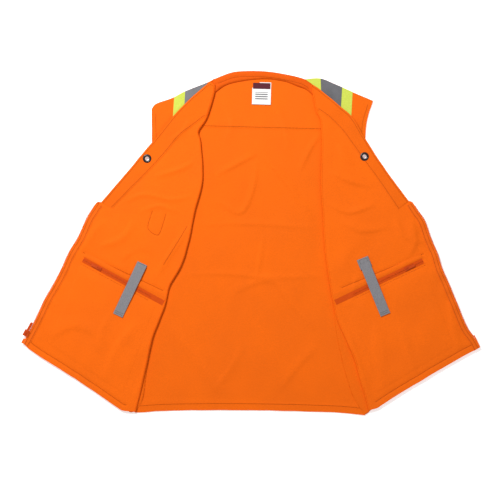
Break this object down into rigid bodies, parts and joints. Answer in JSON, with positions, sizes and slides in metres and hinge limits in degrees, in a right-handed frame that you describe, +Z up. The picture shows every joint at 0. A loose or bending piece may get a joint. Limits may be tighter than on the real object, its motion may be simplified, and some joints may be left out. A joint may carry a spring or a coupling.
{
  "type": "safety vest",
  "caption": "High-visibility surveyor's vest laid open, with turned-out fronts, zip pockets, grommets, closure straps and reflective shoulder tapes.",
  "frame": {"origin": "on the table, midway between hem and collar on the middle line", "axes": "+X across the vest to the wearer's left front, +Y from hem to collar, +Z up from the table"},
  "size_m": [1.0294, 0.768, 0.0132],
  "materials": {
    "orange_cloth": "plain woven polyester, matte",
    "collar_cloth": "padded woven polyester, matte",
    "binding_cloth": "overlocked seam binding",
    "lime_band": "fluorescent lime woven band",
    "silver_tape": "grey glass-bead reflective tape",
    "zip_tape": "woven zip tape",
    "zip_coil": "nylon coil",
    "zip_slider": "orange enamel",
    "dark_plastic": "moulded dark grey",
    "grommet_metal": "black oxide",
    "strap_webbing": "grey woven webbing",
    "label_cloth": "white satin label",
    "header_cloth": "maroon woven strip"
  },
  "bodies": {
    "back": {"back_panel": "orange_cloth", "collar": "collar_cloth", "back_contrast_bands": "lime_band", "back_reflective_tapes": "silver_tape", "left_side_front": "orange_cloth", "left_side_seam_binding": "binding_cloth", "left_shoulder_contrast": "lime_band", "left_shoulder_reflective": "silver_tape", "right_side_front": "orange_cloth", "right_side_seam_binding": "binding_cloth", "right_shoulder_contrast": "lime_band", "right_shoulder_reflective": "silver_tape"},
    "neck_label": {"care_label": "label_cloth", "label_header": "header_cloth"},
    "left_front": {"left_front_panel": "orange_cloth", "left_neck_facing": "orange_cloth", "left_grommet_eyelet": "grommet_metal", "left_grommet_washer": "grommet_metal", "left_zip_tape": "zip_tape", "left_zip_coil": "zip_coil", "left_zip_top_stop": "zip_coil", "left_inner_pocket_bag": "orange_cloth", "left_pocket_welt": "orange_cloth", "left_pocket_zip_tape": "zip_tape", "left_pocket_zip_coil": "zip_coil", "left_strap_sewn_end": "strap_webbing", "left_front_contrast_bands": "lime_band", "left_front_reflective_tapes": "silver_tape", "left_cargo_pocket": "orange_cloth", "left_cargo_flap": "orange_cloth", "left_pen_pocket": "orange_cloth", "zip_retainer_box": "dark_plastic"},
    "right_front": {"right_front_panel": "orange_cloth", "right_neck_facing": "orange_cloth", "right_grommet_eyelet": "grommet_metal", "right_grommet_washer": "grommet_metal", "right_zip_tape": "zip_tape", "right_zip_coil": "zip_coil", "right_zip_top_stop": "zip_coil", "right_inner_pocket_bag": "orange_cloth", "right_pocket_welt": "orange_cloth", "right_pocket_zip_tape": "zip_tape", "right_pocket_zip_coil": "zip_coil", "right_strap_sewn_end": "strap_webbing", "right_front_contrast_bands": "lime_band", "right_front_reflective_tapes": "silver_tape", "right_cargo_pocket": "orange_cloth", "right_cargo_flap": "orange_cloth", "right_pen_pocket": "orange_cloth", "zip_insertion_pin": "dark_plastic"},
    "main_zip_slider": {"main_zip_slider": "zip_slider"},
    "main_zip_pull": {"main_zip_pull": "zip_slider"},
    "left_pocket_slider": {"left_pocket_slider": "zip_slider"},
    "left_pocket_pull": {"left_pocket_pull": "zip_slider"},
    "left_strap": {"left_pocket_strap": "strap_webbing"},
    "right_pocket_slider": {"right_pocket_slider": "zip_slider"},
    "right_pocket_pull": {"right_pocket_pull": "zip_slider"},
    "right_strap": {"right_pocket_strap": "strap_webbing"}
  },
  "joints": [
    {"name": "left_front_fold", "type": "hinge", "parent": "back", "child": "left_front", "pos_m": [-0.272, -0.384, 0.0082], "axis": [0.2336, 0.9723, 0], "range_deg": [0, 177]},
    {"name": "right_front_fold", "type": "hinge", "parent": "back", "child": "right_front", "pos_m": [0.272, -0.384, 0.0082], "axis": [0.2336, -0.9723, 0], "range_deg": [0, 173]},
    {"name": "main_zip_travel", "type": "slide", "parent": "left_front", "child": "main_zip_slider", "axis": [0.4527, 0.8916, 0], "range_m": [0, 0.32]},
    {"name": "main_zip_pull_swing", "type": "hinge", "parent": "main_zip_slider", "child": "main_zip_pull", "pos_m": [-0.50594, -0.22327, 0.0123], "axis": [0.8916, -0.4527, 0], "range_deg": [0, 178]},
    {"name": "left_pocket_zip_travel", "type": "slide", "parent": "left_front", "child": "left_pocket_slider", "axis": [0.8944, -0.4473, 0], "range_m": [-0.025, 0.1]},
    {"name": "left_pocket_pull_swing", "type": "hinge", "parent": "left_pocket_slider", "child": "left_pocket_pull", "pos_m": [-0.34703, -0.07356, 0.0121], "axis": [0.4473, 0.8944, 0], "range_deg": [0, 178]},
    {"name": "left_strap_lift", "type": "hinge", "parent": "left_front", "child": "left_strap", "pos_m": [-0.25121, -0.06258, 0.0133], "axis": [-0.9157, 0.4019, 0], "range_deg": [0, 180]},
    {"name": "right_pocket_zip_travel", "type": "slide", "parent": "right_front", "child": "right_pocket_slider", "axis": [-0.8944, -0.4473, 0], "range_m": [-0.025, 0.1]},
    {"name": "right_pocket_pull_swing", "type": "hinge", "parent": "right_pocket_slider", "child": "right_pocket_pull", "pos_m": [0.34282, -0.05606, 0.0121], "axis": [0.4473, -0.8944, 0], "range_deg": [0, 178]},
    {"name": "right_strap_lift", "type": "hinge", "parent": "right_front", "child": "right_strap", "pos_m": [0.247, -0.04508, 0.0133], "axis": [-0.9157, -0.4019, 0], "range_deg": [0, 180]},
    {"name": "neck_label_flip", "type": "hinge", "parent": "back", "child": "neck_label", "pos_m": [0.007, 0.3545, 0.0047], "axis": [-1, 0, 0], "range_deg": [0, 170]}
  ]
}
